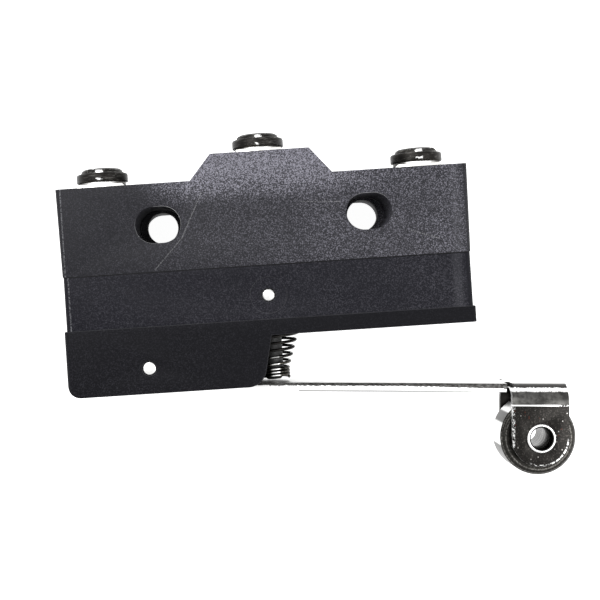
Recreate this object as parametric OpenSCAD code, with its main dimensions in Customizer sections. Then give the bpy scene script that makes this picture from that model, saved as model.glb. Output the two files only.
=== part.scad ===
// Basic switch with a long hinged roller lever and three screw terminals.
// It lies on its back: Z runs through the thickness of the case, X along the case,
// Y from the lever side to the terminal side. The origin is midway between the two
// mounting holes, on the back face. Lengths are in millimetres.

/* [Case] */
// Length of the case over the terminal face
body_l = 49.6; // [46:0.2:54]
// Thickness of the case, the distance between its two flat faces
body_t = 17.45; // [16.4:0.05:19]
// Height of the terminal block, from the first seam to the terminal face
base_h = 10.6; // [9.6:0.1:13]
// Distance from the line of the mounting holes up to the terminal face
hole_drop = 5; // [4.4:0.1:6]
// Moulding draft at each end of the terminal block, from terminal face to seam
end_draft = 0.2; // [0:0.05:0.4]
// Height of the cover between the two seams
cover_h = 6.55; // [6.3:0.05:8]
// How far each end of the cover lies inside the terminal block's end
cover_inset = 0.3; // [0.2:0.05:0.6]
// Thickness of the cap that carries the hinge block
cap_t = 1.95; // [1.8:0.05:3]
// Radius on the long edges at both ends of the case
edge_r = 0.7; // [0.5:0.1:1.5]
// Thickness of the front and back walls round the contact chamber
wall_t = 1.8; // [1.4:0.1:2.2]
// Thickness of the chamber's end walls
end_wall_t = 1.4; // [1:0.1:2]
// Thickness of the web between the mounting holes and the chamber
web_t = 1.2; // [0.9:0.1:1.6]
// Thickness of the cover's floor
floor_t = 1.2; // [1:0.1:1.4]

/* [Hump] */
// Width of the centre hump where it leaves the terminal face
hump_foot_w = 17.1; // [15:0.1:19]
// Width of the flat on top of the hump
hump_top_w = 11.9; // [10:0.1:13]
// Height of the hump above the terminal face
hump_h = 3.1; // [2:0.1:4]

/* [Mounting holes] */
// Distance between the two mounting holes
hole_pitch = 25.4; // [24.6:0.1:26.4]
// Diameter of each mounting hole, through a land between two oval recesses
hole_d = 3.9; // [3.6:0.1:4.2]
// Length of the oval recesses
recess_l = 5.5; // [4.8:0.1:6]
// Height of the oval recesses
recess_h = 4.4; // [4.4:0.1:4.8]
// Depth of the oval recess from the front face to the land
recess_depth = 8.4; // [6:0.2:10]
// Thickness of the land that the mounting screws pass through
land_t = 1.6; // [1:0.1:2.4]

/* [Hinge block] */
// Length of the hinge block, measured from the left end of the case
block_l = 24.85; // [23.5:0.05:25.5]
// Height of the hinge block below the cap
block_h = 6.1; // [5.8:0.1:7]
// How far the block's inner side slopes in towards its foot
block_slope = 1.3; // [0.8:0.1:1.8]
// Radius at the outer foot of the block
block_outer_r = 1.6; // [1:0.1:2]
// Radius at the inner foot of the block
block_inner_r = 2.3; // [1.5:0.1:2.6]
// Thickness of the wall that closes the block's outer end
block_end_t = 5; // [4:0.1:6]
// Distance from the left end of the case to the hinge pin
pivot_inset = 9.97; // [9.4:0.01:10.4]
// Distance from the cap's face down to the hinge pin
pivot_drop = 3.04; // [2.6:0.02:3.3]
// Diameter of the hinge pin
pin_d = 1.7; // [1.5:0.05:1.9]

/* [Lever] */
// Angle by which the arm hangs open when it is free
lever_angle = 4; // [3:0.5:5]
// Width of the lever across the strip
lever_w = 7.85; // [7:0.05:8.3]
// Thickness of the spring-steel strip
sheet_t = 0.7; // [0.5:0.05:0.8]
// Height of the arm's stiffened edges
arm_edge_h = 1.1; // [0.9:0.05:1.3]
// Distance from the hinge pin down to the arm's upper face
arm_drop = 1.98; // [1.9:0.02:2.3]
// Distance along the arm from the hinge pin to the roller
arm_reach = 48.2; // [40:0.1:60]
// Distance along the arm from the hinge pin to the start of the stiffened edges
edge_start = 17.6; // [17:0.1:22]
// Radius of the two ears round the hinge pin
pin_ear_r = 1.7; // [1.5:0.05:1.8]
// Width of the two ears that hold the roller
ear_w = 7; // [6.4:0.1:7.6]
// Radius at the foot of each roller ear
ear_foot_r = 3.6; // [3.5:0.05:4]
// Outer radius of the bend between the arm and the roller ears
bend_r = 2.7; // [2:0.1:3]
// Width of the relief cut beside each roller ear
relief_w = 0.8; // [0.5:0.1:1.2]

/* [Roller] */
// Diameter of the roller
roller_d = 9.5; // [8:0.1:10]
// Width of the roller
roller_w = 5.4; // [4:0.1:5.5]
// Distance from the arm's upper face down to the roller's centre
roller_drop = 6.8; // [6.2:0.05:7.4]
// Chamfer on the roller's rims
roller_chamfer = 0.4; // [0.2:0.05:0.6]
// Diameter of the shallow recess in the roller's faces
roller_recess_d = 7; // [6:0.1:7.2]
// Diameter of the hub inside that recess
roller_hub_d = 4.6; // [4.4:0.1:5]
// Depth of the recess
roller_recess = 0.35; // [0.1:0.05:0.6]
// Outside diameter of the tubular rivet
rivet_d = 3.2; // [3:0.05:3.4]
// Diameter of the hole through the rivet
rivet_bore = 2.7; // [2.2:0.1:2.8]
// Diameter of the rivet's rolled heads
rivet_head_d = 3.7; // [3.6:0.1:4.2]
// Height of the rivet's rolled heads
rivet_head_h = 0.4; // [0.3:0.05:0.5]

/* [Plunger] */
// Position of the plunger along the case
plunger_x = 0.2; // [-0.4:0.1:0.8]
// Diameter of the plunger's stem
stem_d = 2.5; // [2.2:0.05:2.7]
// Outside diameter of the plunger's cup
cup_d = 4.2; // [4:0.05:4.5]
// Inside diameter of the plunger's cup
cup_bore = 3.2; // [3:0.05:3.3]
// Height of the plunger's cup
cup_h = 4.08; // [4:0.02:4.1]
// Thickness of the cup's floor
cup_floor = 0.5; // [0.4:0.05:0.6]
// Thickness of the cap under the cup
cap_lip_t = 0.9; // [0.8:0.05:1]
// Diameter of the push pin's stem
push_d = 1.6; // [1.4:0.05:1.8]
// Thickness of the push pin's flange
push_flange_t = 0.6; // [0.5:0.05:0.7]

/* [Springs] */
// Wire diameter of the conical return spring
spring_wire = 0.38; // [0.3:0.02:0.42]
// Outside radius of the return spring at the cap
spring_top_r = 3.65; // [3.4:0.05:3.7]
// Outside radius of the return spring's closed coils at the lever
spring_foot_r = 2.1; // [1.8:0.05:2.3]
// Number of open coils
open_coils = 5.3; // [4.5:0.1:6]
// Number of closed coils at the foot
closed_coils = 3.3; // [2.5:0.1:3.5]
// Angle round the plunger at which the return spring's wire starts
spring_start = 160; // [0:10:350]
// Depth of the seat of the return spring in the cap
spring_seat = 0.5; // [0.3:0.05:0.6]
// Wire diameter of the overtravel spring inside the plunger
inner_wire = 0.26; // [0.2:0.02:0.28]
// Number of coils of the overtravel spring
inner_coils = 3; // [2.5:0.1:3.2]

/* [Terminals] */
// Distance from each end of the case to its terminal screw
screw_inset = 4.8; // [4.3:0.1:5]
// Thickness of the terminal strip
strip_t = 0.8; // [0.6:0.05:0.9]
// Width of the terminal plate under the screw
plate_w = 5.6; // [5.4:0.1:6.6]
// Length of the terminal plate under the screw, across the case
plate_l = 7.4; // [7.2:0.1:9]
// Width of the legs inside the case
leg_w = 5; // [4.6:0.1:5.4]
// Gap between the outer legs and the chamber's end walls
leg_margin = 0.4; // [0.3:0.1:0.8]
// Diameter of the tapped collar below each terminal plate
collar_d = 4.2; // [4:0.1:4.4]
// Height of the tapped collar
collar_h = 3; // [2.6:0.1:3.2]
// Diameter of the screw's thread
screw_d = 3; // [2.9:0.1:3]
// Length of the screw below its head
screw_l = 6; // [5.6:0.1:6.2]
// Diameter of the screw's head
head_d = 5.3; // [5:0.1:5.6]
// Height of the screw's head
head_h = 1.2; // [1:0.05:1.4]
// Width of the slot across the head
slot_w = 0.8; // [0.6:0.05:1]
// Depth of the slot across the head
slot_d = 0.5; // [0.4:0.05:0.6]
// Diameter of the flat washer
washer_d = 5.9; // [5.7:0.1:6.2]
// Thickness of the flat washer
washer_t = 0.45; // [0.4:0.05:0.7]
// Outside diameter of the cup washer's rim
cup_washer_d = 6.5; // [6.2:0.1:6.8]
// Height of the cup washer
cup_washer_h = 0.55; // [0.5:0.05:0.8]

/* [Contacts] */
// Distance from the end of the case to the contacts
contact_inset = 9.3; // [8.9:0.1:9.5]
// Level of the snap blade below the first seam
blade_drop = 1.3; // [1.2:0.05:1.4]
// Thickness of the snap blade
blade_t = 0.2; // [0.15:0.01:0.22]
// Width of the snap blade
blade_w = 6; // [5.4:0.1:6]
// Diameter of the contact faces
contact_d = 2.8; // [2.4:0.1:3]
// Height of the contact faces
contact_h = 0.58; // [0.5:0.02:0.6]
// Diameter of the contacts' shanks
shank_d = 1.5; // [1.3:0.1:1.6]
// Opening between the moving contact and the normally open contact
contact_gap = 1.1; // [1:0.05:1.2]
// Width of the blade's bowed tongue
tongue_w = 2.4; // [2:0.1:2.8]
// Thickness of the bowed tongue
tongue_t = 0.15; // [0.12:0.01:0.2]
// Distance between the two ends of the bowed tongue
tongue_l = 8.45; // [8:0.05:9]
// Height of the tongue's tip above the blade
tongue_lift = 1.6; // [1.4:0.05:1.7]
// Rise of the bowed tongue above its chord
tongue_rise = 0.9; // [0.6:0.05:1]
// Distance from the contacts to the tongue's root
tongue_inset = 2.3; // [2.1:0.1:2.5]
// Length of the blade beyond its rivet
blade_tail = 1.5; // [1.3:0.1:1.8]
// Length of the blade beyond the moving contact
blade_nose = 2; // [1.8:0.1:2.2]
// Diameter of the anchor rivet's shank
anchor_d = 2; // [1.6:0.1:2.2]
// Diameter of the anchor rivet's heads
anchor_head_d = 3.2; // [2.8:0.1:3.6]
// Height of the anchor rivet's heads
anchor_head_h = 0.5; // [0.4:0.05:0.6]

/* [Cover pins] */
// Distance of the cover pins below the first seam
cover_pin_drop = 3.67; // [3.2:0.05:4]
// Diameter of the cover pins
cover_pin_d = 1.7; // [1.5:0.05:1.8]
// Diameter of the spot face round each cover pin
spot_d = 4.4; // [4:0.1:5]
// Depth of the spot face
spot_depth = 0.12; // [0.05:0.01:0.2]
// Thickness of the tongues that reach from the terminal block into the cover
lug_t = 1.4; // [1.2:0.05:1.5]
// Width of those tongues
lug_w = 8; // [6:0.5:8]
// How far those tongues reach past the cover pins
lug_end = 1.6; // [1.4:0.1:1.7]

/* [Dowels] */
// Distance from each end of the case to the dowel that locates the hinge cap
dowel_inset = 3.8; // [3.3:0.1:4.2]
// Diameter of the dowels
dowel_d = 2.4; // [2:0.1:2.8]
// Height of the dowels
dowel_h = 1.1; // [0.8:0.1:1.3]

/* [Fits] */
// Clearance between pieces that slide or turn, on the radius
run_gap = 0.05; // [0.03:0.01:0.07]
// Clearance between fixed pieces
fix_gap = 0.04; // [0.02:0.01:0.05]
// Gap on each side of the lever in its slot
lever_gap = 0.25; // [0.2:0.05:0.4]
// Gap between the plunger's tip and the lever
tip_gap = 0.08; // [0.05:0.01:0.1]

/* [Hidden] */
$fn = 64;

// Colours of the finishes
phenolic = [0.22, 0.22, 0.235];
phenolic_dark = [0.16, 0.16, 0.18];
steel = [0.55, 0.55, 0.56];
dark_steel = [0.30, 0.29, 0.28];
nickel = [0.66, 0.65, 0.62];
brass = [0.72, 0.60, 0.34];
silver = [0.80, 0.80, 0.78];
copper = [0.72, 0.50, 0.34];
nylon = [0.30, 0.30, 0.31];

// Lengthening a cutter by this much past a face leaves no skin behind
over = 1;
// The ends of the pins lie this far inside the case's flat faces
pin_recess = 0.06;
z_mid = body_t / 2;

// Levels along Y
y_top = hole_drop;
y_hump = y_top + hump_h;
y_seam = y_top - base_h;
y_cap = y_seam - cover_h;
y_face = y_cap - cap_t;
y_block = y_face - block_h;
y_ceiling = -recess_h / 2 - web_t;
y_floor = y_cap + floor_t;

// Ends of the three mouldings along X
half_l = body_l / 2;
seam_half = half_l - end_draft;
cover_half = half_l - cover_inset;
chamber_half = cover_half - end_wall_t;

// Places along X, tied to the ends of the case
screw_x = half_l - screw_inset;
contact_x = half_l - contact_inset;
dowel_x = half_l - dowel_inset;
leg_x = chamber_half - leg_margin - leg_w / 2;

// Hinge pin
pivot = [-half_l + pivot_inset, y_face - pivot_drop];
slot_half = lever_w / 2 + lever_gap;

// Blade and contacts along Y
y_blade = y_seam - blade_drop;
y_open = y_blade + contact_h + contact_gap;
y_closed = y_blade - blade_t - contact_h - fix_gap / 2;

// Where the bowed tongue leaves the blade, and where its tip meets its support
tongue_root_x = contact_x - tongue_inset;
tongue_tip_x = tongue_root_x - tongue_l;
y_tongue_tip = y_blade + tongue_lift;

// Plunger stack along Y
y_cup = y_face + cap_lip_t;
y_cup_top = y_cup + cup_h;
y_tip = y_blade - blade_t;
y_flange = y_cup_top - push_flange_t - 0.2;
arm_y_at_plunger = pivot[1] - arm_drop / cos(lever_angle)
                 - (plunger_x - pivot[0]) * tan(lever_angle);

// Terminal strips: planes of the legs along Z, measured from the back face
leg_back_z = z_mid - plate_l / 2 - 0.5;
leg_front_z = body_t - leg_back_z - strip_t;
y_runner = y_ceiling - 0.1;
runner_h = 2.2;
head_y = strip_t + washer_t + cup_washer_h;

// Unit vector along v
function unit(v) = v / norm(v);

// Tangent points and centre of an arc of radius r in the corner a-b-c
function corner_arc(a, b, c, r) =
    let (u = unit(a - b), w = unit(c - b), half = acos(u * w) / 2)
    [b + u * r / tan(half), b + w * r / tan(half), b + unit(u + w) * r / sin(half)];

// Outline through the points, with a convex arc of radius radii[i] at point i
module rounded_outline(points, radii) {
    n = len(points);
    arcs = [for (i = [0:n - 1])
        radii[i] > 0
        ? corner_arc(points[(i + n - 1) % n], points[i], points[(i + 1) % n], radii[i])
        : [points[i], points[i], points[i]]];
    polygon([for (i = [0:n - 1]) for (k = radii[i] > 0 ? [0, 1] : [0]) arcs[i][k]]);
    for (i = [0:n - 1])
        if (radii[i] > 0) translate(arcs[i][2]) circle(r = radii[i]);
}

// Oval of the given length and height, lying along X
module oval(length, height) {
    square([length - height, height], center = true);
    for (s = [-1, 1]) translate([s * (length - height) / 2, 0]) circle(d = height);
}

// Flat plate parallel to the case's faces, cut to the outline of its children
module face_plate(z, thickness) {
    translate([0, 0, z]) linear_extrude(thickness) children();
}

// Extrusion along Y from level y0 up to y1 of an outline drawn in X and Z
module along_y(y0, y1) {
    translate([0, y1, 0]) rotate([90, 0, 0]) linear_extrude(y1 - y0) children();
}

// Solid of revolution about an axis along Y; the profile holds [radius, level] points
module turned_y(x, points) {
    translate([x, 0, z_mid]) rotate([-90, 0, 0]) rotate_extrude() polygon(points);
}

// Waste outside a rounded edge that runs along +Y from the origin, for a corner whose
// material lies towards -X and -Z. The round stands proud by a hair, so it crosses both
// faces cleanly
module edge_waste(length, r) {
    hair = 0.01;
    difference() {
        translate([-r, -over, -r]) cube([r + over, length + 2 * over, r + over]);
        translate([hair - r, -2 * over, hair - r]) rotate([-90, 0, 0])
            cylinder(r = r, h = length + 4 * over);
    }
}

// Rounds the front and back edges at both ends: low_half and high_half are the half
// lengths at the levels y0 and y1
module end_edges(y0, y1, low_half, high_half, r) {
    lean = atan2(low_half - high_half, y1 - y0);
    for (side = [-1, 1]) for (face = [0, 1])
        translate([side * low_half, y0, face * body_t])
            mirror([side < 0 ? 1 : 0, 0, 0]) mirror([0, 0, face == 0 ? 1 : 0])
                rotate([0, 0, lean]) edge_waste(y1 - y0, r);
}

// Helical wire round an axis along Y. radii and levels give the centre line at each
// of the count + 1 rings; start is the angle of the first ring and turns the total
module coil(x, radii, levels, start, turns, wire, sides = 8) {
    count = len(radii) - 1;
    points = [for (i = [0:count], k = [0:sides - 1])
        let (a = start + 360 * turns * i / count, b = 360 * k / sides,
             r = radii[i] + wire / 2 * cos(b))
        [x + r * cos(a), levels[i] + wire / 2 * sin(b), z_mid + r * sin(a)]];
    quads = [for (i = [0:count - 1], k = [0:sides - 1])
        let (a = i * sides + k, b = i * sides + (k + 1) % sides) [a, a + sides, b + sides, b]];
    first_cap = [[for (k = [0:sides - 1]) k]];
    last_cap = [[for (k = [sides - 1:-1:0]) count * sides + k]];
    polyhedron(points, concat(quads, first_cap, last_cap));
}

module base() {
    color(phenolic) difference() {
        union() {
            face_plate(0, body_t) polygon([
                [-seam_half, y_seam], [seam_half, y_seam], [half_l, y_top],
                [hump_foot_w / 2, y_top], [hump_top_w / 2, y_hump],
                [-hump_top_w / 2, y_hump], [-hump_foot_w / 2, y_top], [-half_l, y_top]]);
            // Tongues that reach down inside the cover
            for (z = [wall_t + fix_gap, body_t - wall_t - lug_t - fix_gap])
                translate([-lug_w / 2, y_seam - cover_pin_drop - lug_end, z])
                    cube([lug_w, cover_pin_drop + lug_end + y_ceiling - y_seam + web_t / 2, lug_t]);
        }
        end_edges(y_seam, y_top, seam_half, half_l, edge_r);
        // Contact chamber, left solid over the tongues
        difference() {
            along_y(y_seam - over, y_ceiling) chamber_outline();
            for (z = [-over, body_t - wall_t - lug_t - fix_gap])
                translate([-lug_w / 2, y_seam - over, z])
                    cube([lug_w, over + y_ceiling - y_seam, wall_t + lug_t + fix_gap + over]);
        }
        for (s = [-1, 1]) translate([s * hole_pitch / 2, 0, 0]) mounting_hole();
        for (s = [-1, 1]) translate([s * screw_x, 0, 0]) screw_pit(y_top);
        screw_pit(y_hump);
        leg_way(-leg_x, leg_back_z, y_top);
        leg_way(leg_x, leg_back_z, y_top);
        leg_way(0, leg_front_z, y_hump);
        for (face = [0, 1]) cover_pin_hole(face, cover_pin_d / 2 + fix_gap / 2);
    }
}

// Plan of the contact chamber in X and Z (Z measured downwards by the extrusion)
module chamber_outline() {
    w = chamber_half;
    d = body_t - 2 * wall_t;
    translate([0, z_mid])
        rounded_outline([[-w, -d / 2], [w, -d / 2], [w, d / 2], [-w, d / 2]], [1, 1, 1, 1]);
}

module mounting_hole() {
    translate([0, 0, -over]) cylinder(d = hole_d, h = body_t + 2 * over);
    face_plate(body_t - recess_depth, recess_depth + over) oval(recess_l, recess_h);
    face_plate(-over, body_t - recess_depth - land_t + over) oval(recess_l, recess_h);
}

// Blind hole that takes the tapped collar and the end of a terminal screw
module screw_pit(level) {
    translate([0, level + over, z_mid]) rotate([90, 0, 0])
        cylinder(d = collar_d + 0.2, h = over + screw_l - head_y + strip_t + 0.9);
}

// Slot through the terminal block for the leg of a terminal
module leg_way(x, z, level) {
    translate([x - leg_w / 2 - fix_gap, y_ceiling - over, z - fix_gap])
        cube([leg_w + 2 * fix_gap, level - y_ceiling + 2 * over, strip_t + 2 * fix_gap]);
}

module cover_pin_hole(face, r) {
    translate([0, y_seam - cover_pin_drop, face * body_t]) mirror([0, 0, face])
        translate([0, 0, -over]) cylinder(r = r, h = over + wall_t + lug_t + 2 * fix_gap + 0.3);
}

module cover() {
    color(phenolic_dark) difference() {
        union() {
            face_plate(0, body_t) polygon([
                [-cover_half, y_cap], [cover_half, y_cap],
                [cover_half, y_seam], [-cover_half, y_seam]]);
            for (s = [-1, 1]) translate([s * dowel_x, y_cap + over, z_mid]) rotate([90, 0, 0])
                cylinder(d = dowel_d, h = dowel_h + over);
        }
        end_edges(y_cap, y_seam, cover_half, cover_half, edge_r);
        along_y(y_floor, y_seam + over) chamber_outline();
        translate([plunger_x, y_cap - over, z_mid]) rotate([-90, 0, 0])
            cylinder(d = cup_d + 2 * run_gap, h = floor_t + 2 * over);
        for (face = [0, 1]) {
            cover_pin_hole(face, cover_pin_d / 2 + fix_gap / 2);
            translate([0, y_seam - cover_pin_drop, face * body_t]) mirror([0, 0, face])
                translate([0, 0, -over]) cylinder(d = spot_d, h = over + spot_depth);
        }
    }
}

module hinge_cap() {
    foot_x = -half_l + block_l;
    color(phenolic_dark) difference() {
        face_plate(0, body_t) {
            polygon([[-half_l, y_cap], [-half_l, y_face - over], [foot_x - over, y_face - over],
                     [foot_x, y_face], [half_l, y_face], [half_l, y_cap]]);
            rounded_outline([
                [-half_l, y_face], [-half_l, y_block],
                [foot_x - block_slope, y_block], [foot_x, y_face]],
                [0, block_outer_r, block_inner_r, 0]);
        }
        end_edges(y_face - block_h, y_cap, half_l, half_l, edge_r);
        // Slot for the lever, open below and towards the plunger
        translate([-half_l + block_end_t, y_block - over, z_mid - slot_half])
            cube([body_l, block_h + over, 2 * slot_half]);
        // Bores of the hinge pin in the two cheeks
        translate([pivot[0], pivot[1], -over])
            cylinder(r = pin_d / 2 + fix_gap / 2, h = body_t + 2 * over);
        // Way of the plunger: stem below, cup above, and the seat of the return spring
        translate([plunger_x, y_face - over, z_mid]) rotate([-90, 0, 0]) {
            cylinder(d = stem_d + 2 * run_gap, h = cap_t + 2 * over);
            translate([0, 0, over + cap_lip_t - fix_gap])
                cylinder(d = cup_d + 2 * run_gap, h = cap_t + over);
        }
        turned_y(plunger_x, [
            [stem_d / 2 + 0.45, y_face - over], [spring_top_r + 0.12, y_face - over],
            [spring_top_r + 0.12, y_face + spring_seat], [stem_d / 2 + 0.45, y_face + spring_seat]]);
        for (s = [-1, 1]) translate([s * dowel_x, y_cap + over, z_mid]) rotate([90, 0, 0])
            cylinder(d = dowel_d + 2 * fix_gap, h = dowel_h + 0.1 + over);
    }
}

// Short pin through the cover's wall and the tongue of the terminal block
module cover_pin(face) {
    length = wall_t + lug_t + 2 * fix_gap;
    dome_r = 0.75 * cover_pin_d;
    dome_h = dome_r - sqrt(pow(dome_r, 2) - pow(cover_pin_d / 2, 2));
    color(steel) translate([0, y_seam - cover_pin_drop, face * body_t]) mirror([0, 0, face])
        translate([0, 0, pin_recess]) {
            translate([0, 0, dome_h]) cylinder(d = cover_pin_d, h = length - pin_recess - dome_h);
            intersection() {
                cylinder(d = cover_pin_d, h = dome_r);
                translate([0, 0, dome_r]) sphere(r = dome_r);
            }
        }
}

module hinge_pin() {
    chamfer = 0.15;
    length = body_t - 2 * pin_recess;
    color(steel) translate([pivot[0], pivot[1], pin_recess]) rotate_extrude()
        polygon([[0, 0], [pin_d / 2 - chamfer, 0], [pin_d / 2, chamfer],
                 [pin_d / 2, length - chamfer], [pin_d / 2 - chamfer, length], [0, length]]);
}

// Places children drawn about the hinge pin, with X along the arm, at the free angle
module on_lever() {
    translate([pivot[0], pivot[1], z_mid]) rotate([0, 0, -lever_angle]) children();
}

// Channel section in Z and Y: a web of the given width with a leg at each side, whose
// outer bends have radius r. The legs reach from the web's outer face, at level 0, to depth
module channel_section(width, r, depth) {
    w = width / 2;
    difference() {
        rounded_outline([[-w, -depth], [w, -depth], [w, 0], [-w, 0]], [0, 0, r, r]);
        rounded_outline([[-w + sheet_t, -depth - over], [w - sheet_t, -depth - over],
                         [w - sheet_t, -sheet_t], [-w + sheet_t, -sheet_t]],
                        [0, 0, r - sheet_t, r - sheet_t]);
    }
}

// Extrusion along X from x0 to x1 of a section drawn in Z (first) and Y (second)
module along_x(x0, x1) {
    translate([x0, 0, 0]) rotate([0, 90, 0]) linear_extrude(x1 - x0) children();
}

module lever() {
    w = lever_w / 2;
    ear_x = arm_reach - ear_w / 2;
    root_x = -pin_ear_r - 0.4;
    color(dark_steel) on_lever() difference() {
        union() {
            // Web of the arm, from behind the pin to the roller bracket
            translate([pin_ear_r + 0.1, -arm_drop - sheet_t, -w])
                cube([ear_x - pin_ear_r, sheet_t, lever_w]);
            // Stiffened edges, which start with a slope
            for (z = [-w, w - sheet_t])
                translate([0, -arm_drop, z]) linear_extrude(sheet_t) polygon([
                    [edge_start, -sheet_t / 2], [ear_x - relief_w, -sheet_t / 2],
                    [ear_x - relief_w, -arm_edge_h], [edge_start + 0.6, -arm_edge_h]]);
            // Roller bracket
            intersection() {
                translate([0, -arm_drop, 0])
                    along_x(ear_x - 0.05, ear_x + ear_w) channel_section(lever_w, bend_r, 12);
                translate([0, -arm_drop, -w - over]) linear_extrude(lever_w + 2 * over) {
                    translate([ear_x - 0.05, -roller_drop]) square([ear_w + 0.05, roller_drop + over]);
                    intersection() {
                        translate([arm_reach, -roller_drop]) circle(r = ear_foot_r);
                        translate([ear_x, -roller_drop - ear_foot_r]) square([ear_w, ear_foot_r]);
                    }
                }
            }
            // Root with the two ears round the hinge pin
            intersection() {
                translate([0, -arm_drop - sheet_t, 0]) mirror([0, 1, 0])
                    along_x(root_x, pin_ear_r + 0.4)
                        channel_section(lever_w, 1.1, arm_drop + sheet_t + pin_ear_r + over);
                translate([0, 0, -w - over]) linear_extrude(lever_w + 2 * over) {
                    circle(r = pin_ear_r);
                    translate([root_x, -arm_drop - sheet_t - over])
                        square([pin_ear_r + 0.4 - root_x, arm_drop + sheet_t + over]);
                }
            }
        }
        // Bores for the hinge pin and for the rivet
        translate([0, 0, -w - over]) cylinder(r = pin_d / 2 + run_gap, h = lever_w + 2 * over);
        translate([arm_reach, -arm_drop - roller_drop, -w - over])
            cylinder(r = rivet_d / 2 + fix_gap / 2, h = lever_w + 2 * over);
        // Relief cuts beside the roller ears
        for (z = [-w - over, w - bend_r])
            translate([ear_x - relief_w, -arm_drop - sheet_t - over, z])
                cube([relief_w, sheet_t + 2 * over, bend_r + over]);
    }
}

// Places children, drawn about the roller's axis, at the roller
module at_roller() {
    on_lever() translate([arm_reach, -arm_drop - roller_drop, 0]) children();
}

module roller() {
    r = roller_d / 2;
    h = roller_w / 2;
    c = roller_chamfer;
    bore = rivet_d / 2 + run_gap;
    hub = roller_hub_d / 2;
    rim = roller_recess_d / 2;
    face = h - roller_recess;
    color(steel) at_roller() rotate_extrude($fn = 96) polygon([
        [bore, -h], [hub, -h], [hub, -face], [rim, -face], [rim, -h], [r - c, -h], [r, -h + c],
        [r, h - c], [r - c, h], [rim, h], [rim, face], [hub, face], [hub, h], [bore, h]]);
}

module roller_rivet() {
    w = lever_w / 2;
    lip = fix_gap / 2;
    color(steel) at_roller() rotate_extrude() polygon([
        [rivet_bore / 2, -w - rivet_head_h], [rivet_head_d / 2 - 0.15, -w - rivet_head_h],
        [rivet_head_d / 2, -w - rivet_head_h + 0.15], [rivet_head_d / 2, -w - lip],
        [rivet_d / 2, -w - lip], [rivet_d / 2, w + lip], [rivet_head_d / 2, w + lip],
        [rivet_head_d / 2, w + rivet_head_h - 0.15], [rivet_head_d / 2 - 0.15, w + rivet_head_h],
        [rivet_bore / 2, w + rivet_head_h]]);
}

module return_spring() {
    rings = 20;
    turns = open_coils + closed_coils;
    count = floor(turns * rings);
    y_high = y_face + spring_seat - spring_wire / 2 - 0.02;
    y_low = arm_y_at_plunger + spring_foot_r * tan(lever_angle) + spring_wire / 2 + 0.03;
    y_stack = y_low + closed_coils * spring_wire * 1.04;
    // Share of the open coils reached at ring i, 0 at the cap and 1 at the closed coils
    open_share = [for (i = [0:count]) min(1, turns * i / count / open_coils)];
    radii = [for (t = open_share)
        spring_top_r + (spring_foot_r - spring_top_r) * t - spring_wire / 2];
    levels = [for (i = [0:count]) let (t = turns * i / count)
        t < open_coils
        ? y_high + (y_stack - y_high) * t / open_coils
        : y_stack + (y_low - y_stack) * (t - open_coils) / closed_coils];
    color(steel) coil(plunger_x, radii, levels, spring_start, turns, spring_wire);
}

module plunger() {
    tip = arm_y_at_plunger + stem_d / 2 * tan(lever_angle) + tip_gap;
    bore_floor = y_cup + cup_floor;
    color(nylon) turned_y(plunger_x, [
        [0, tip], [stem_d / 2 - 0.4, tip], [stem_d / 2, tip + 0.4], [stem_d / 2, y_cup],
        [cup_d / 2, y_cup], [cup_d / 2, y_cup_top], [cup_bore / 2, y_cup_top],
        [cup_bore / 2, bore_floor], [0, bore_floor]]);
}

module push_pin() {
    flange_r = cup_bore / 2 - run_gap;
    color(nylon) turned_y(plunger_x, [
        [0, y_flange], [flange_r, y_flange], [flange_r, y_flange + push_flange_t],
        [push_d / 2, y_flange + push_flange_t], [push_d / 2, y_tip - 0.3],
        [push_d / 2 - 0.25, y_tip - 0.02], [0, y_tip - 0.02]]);
}

module overtravel_spring() {
    rings = 16;
    count = floor(inner_coils * rings);
    low = y_cup + cup_floor + inner_wire / 2 + 0.02;
    high = y_flange - inner_wire / 2 - 0.02;
    radii = [for (i = [0:count]) cup_bore / 2 - inner_wire / 2 - 0.1];
    levels = [for (i = [0:count]) high + (low - high) * i / count];
    color(steel) coil(plunger_x, radii, levels, 0, inner_coils, inner_wire);
}

module snap_blade() {
    left = -leg_x - blade_tail;
    right = contact_x + blade_nose;
    window_x = tongue_tip_x + tongue_l / 9;
    root = [tongue_root_x + 2 * blade_t, y_blade - blade_t / 2];
    tip = [tongue_tip_x, y_tongue_tip];
    chord = norm(root - tip);
    bow_r = chord * chord / (8 * tongue_rise) + tongue_rise / 2;
    along = unit(root - tip);
    up = [-along[1], along[0]];
    centre = (root + tip) / 2 - up * (bow_r - tongue_rise);
    color(copper) {
        along_y(y_blade - blade_t, y_blade) difference() {
            translate([left, z_mid - blade_w / 2]) square([right - left, blade_w]);
            // Window that leaves two outer legs beside the tongue
            translate([window_x, z_mid - tongue_w * 0.65])
                square([tongue_root_x - window_x, tongue_w * 1.3]);
            translate([-leg_x, z_mid]) circle(d = anchor_d + fix_gap);
            translate([contact_x, z_mid]) circle(d = shank_d + fix_gap);
        }
        // Bowed tongue, pressed back against its support
        face_plate(z_mid - tongue_w / 2, tongue_w) intersection() {
            difference() {
                translate(centre) circle(r = bow_r + tongue_t / 2, $fn = 96);
                translate(centre) circle(r = bow_r - tongue_t / 2, $fn = 96);
            }
            polygon([centre, centre + 3 * (tip - centre), centre + 3 * (root - centre)]);
        }
    }
}

// Contact rivet with its axis along Y: a face of height h on the side given by up
module contact(level, up, shank_l) {
    s = up ? 1 : -1;
    turned_y(contact_x, [
        [0, level], [contact_d / 2 - 0.2, level], [contact_d / 2, level - s * 0.2],
        [contact_d / 2, level - s * contact_h], [shank_d / 2, level - s * contact_h],
        [shank_d / 2, level - s * (contact_h + shank_l)], [0, level - s * (contact_h + shank_l)]]);
}

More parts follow.
